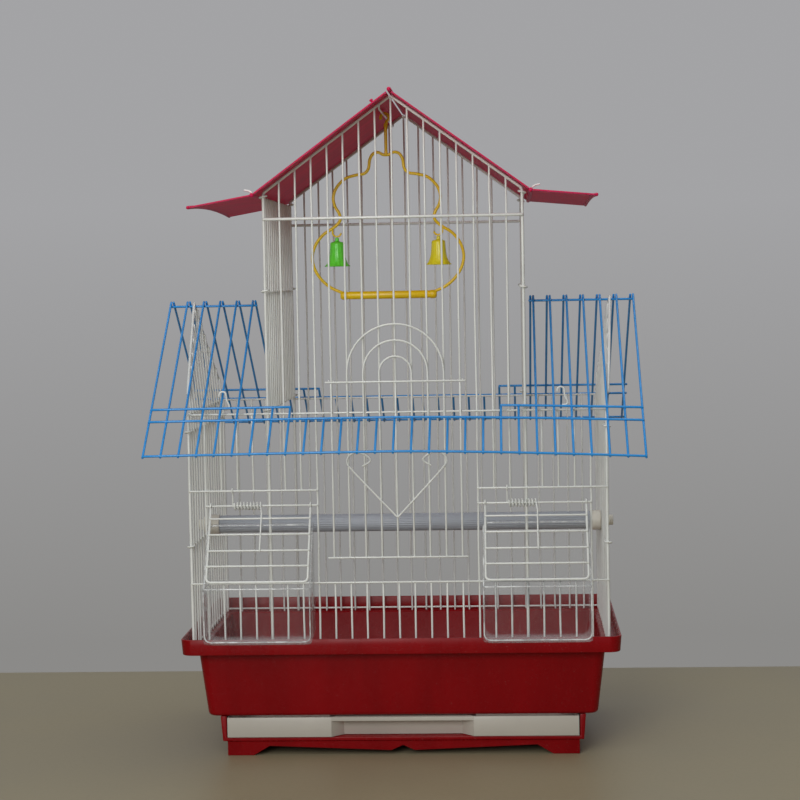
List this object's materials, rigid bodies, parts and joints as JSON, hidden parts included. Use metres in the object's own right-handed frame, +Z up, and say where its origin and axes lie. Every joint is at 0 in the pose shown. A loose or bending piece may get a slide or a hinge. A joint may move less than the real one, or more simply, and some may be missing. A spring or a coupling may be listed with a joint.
{
  "type": "bird cage",
  "caption": "Folding wire bird cage shaped as a house with a tower: hinged roofs, sliding door, clear feeders, perch, swing with bells, and a tub with a pull-out tray.",
  "frame": {"origin": "on the floor under the middle of the cage", "axes": "+Z up, -Y towards the front with the door, +X to the right as seen from the front"},
  "size_m": [0.4884, 0.387, 0.6706],
  "materials": {
    "white_wire": "off-white coating",
    "blue_wire": "sky blue coating",
    "red_plastic": "smooth red moulding",
    "crimson_plastic": "ribbed crimson moulding",
    "white_plastic": "smooth white moulding",
    "cream_plastic": "smooth cream moulding",
    "clear_plastic": "clear moulding",
    "perch_plastic": "fine lengthways ribs",
    "swing_plastic": "smooth amber moulding",
    "green_plastic": "smooth green moulding",
    "yellow_plastic": "smooth yellow moulding",
    "spring_wire": "coated spring wire"
  },
  "bodies": {
    "cage": {"tub": "red_plastic", "foot_frame": "red_plastic", "floor_grille": "white_wire", "front_panel": "white_wire", "back_panel": "white_wire", "side_panel_left": "white_wire", "side_panel_right": "white_wire", "tower_side_left": "white_wire", "tower_side_right": "white_wire", "blue_ridge_left": "blue_wire", "blue_ridge_right": "blue_wire", "roof_hinge_rod": "crimson_plastic", "perch_rod": "perch_plastic", "perch_cap_left": "cream_plastic", "perch_cap_right": "cream_plastic", "swing_rail": "white_wire"},
    "tray": {"droppings_tray": "white_plastic"},
    "door": {"sliding_door": "white_wire"},
    "roof_left": {"roof_slope_left": "crimson_plastic"},
    "roof_right": {"roof_slope_right": "crimson_plastic"},
    "flare_left": {"roof_flare_left": "crimson_plastic"},
    "flare_right": {"roof_flare_right": "crimson_plastic"},
    "blue_front": {"blue_roof_front": "blue_wire"},
    "blue_back": {"blue_roof_back": "blue_wire"},
    "cup_left": {"feeder_cup_left": "clear_plastic"},
    "cup_right": {"feeder_cup_right": "clear_plastic"},
    "flap_left": {"feeder_flap_left": "white_wire", "feeder_spring_left": "spring_wire"},
    "flap_right": {"feeder_flap_right": "white_wire", "feeder_spring_right": "spring_wire"},
    "swing": {"swing": "swing_plastic"},
    "bell_left": {"bell_left": "green_plastic"},
    "bell_right": {"bell_right": "yellow_plastic"}
  },
  "joints": [
    {"name": "tray_slide", "type": "slide", "parent": "cage", "child": "tray", "axis": [0, -1, 0], "range_m": [0, 0.16]},
    {"name": "door_slide", "type": "slide", "parent": "cage", "child": "door", "axis": [0, 0, 1], "range_m": [-0.0255, 0.095]},
    {"name": "roof_left_hinge", "type": "hinge", "parent": "cage", "child": "roof_left", "pos_m": [0, 0, 0.66851], "axis": [0, 1, 0], "range_deg": [0, 100]},
    {"name": "roof_right_hinge", "type": "hinge", "parent": "cage", "child": "roof_right", "pos_m": [0, 0, 0.66851], "axis": [0, -1, 0], "range_deg": [0, 100]},
    {"name": "flare_left_hinge", "type": "hinge", "parent": "roof_left", "child": "flare_left", "pos_m": [-0.1365, 0, 0.56395], "axis": [0, 1, 0], "range_deg": [-6, 40]},
    {"name": "flare_right_hinge", "type": "hinge", "parent": "roof_right", "child": "flare_right", "pos_m": [0.1365, 0, 0.56395], "axis": [0, -1, 0], "range_deg": [-6, 40]},
    {"name": "blue_front_hinge", "type": "hinge", "parent": "cage", "child": "blue_front", "pos_m": [0, 0, 0.4545], "axis": [-1, 0, 0], "range_deg": [0, 60]},
    {"name": "blue_back_hinge", "type": "hinge", "parent": "cage", "child": "blue_back", "pos_m": [0, 0, 0.4545], "axis": [1, 0, 0], "range_deg": [0, 60]},
    {"name": "cup_left_slide", "type": "slide", "parent": "cage", "child": "cup_left", "axis": [0, -1, 0], "range_m": [0, 0.0435]},
    {"name": "flap_left_hinge", "type": "hinge", "parent": "cage", "child": "flap_left", "pos_m": [-0.137, -0.1266, 0.2562], "axis": [-1, 0, 0], "range_deg": [0, 83], "stiffness_Nm_per_rad": 0.004},
    {"name": "cup_right_slide", "type": "slide", "parent": "cage", "child": "cup_right", "axis": [0, -1, 0], "range_m": [0, 0.0435]},
    {"name": "flap_right_hinge", "type": "hinge", "parent": "cage", "child": "flap_right", "pos_m": [0.137, -0.1266, 0.2562], "axis": [-1, 0, 0], "range_deg": [0, 83], "stiffness_Nm_per_rad": 0.004},
    {"name": "swing_hinge", "type": "hinge", "parent": "cage", "child": "swing", "pos_m": [-0.0115, -0.03, 0.6475], "axis": [0, 1, 0], "range_deg": [-12, 12]},
    {"name": "bell_left_hinge", "type": "hinge", "parent": "swing", "child": "bell_left", "pos_m": [-0.0633, -0.03, 0.5245], "axis": [1, 0, 0], "range_deg": [-20, 20]},
    {"name": "bell_right_hinge", "type": "hinge", "parent": "swing", "child": "bell_right", "pos_m": [0.0417, -0.03, 0.5245], "axis": [1, 0, 0], "range_deg": [-20, 20]}
  ],
  "couplings": [
    {"joint": "flap_left_hinge", "follows": "cup_left_slide", "rad_per_m": 33},
    {"joint": "flap_right_hinge", "follows": "cup_right_slide", "rad_per_m": 33}
  ]
}
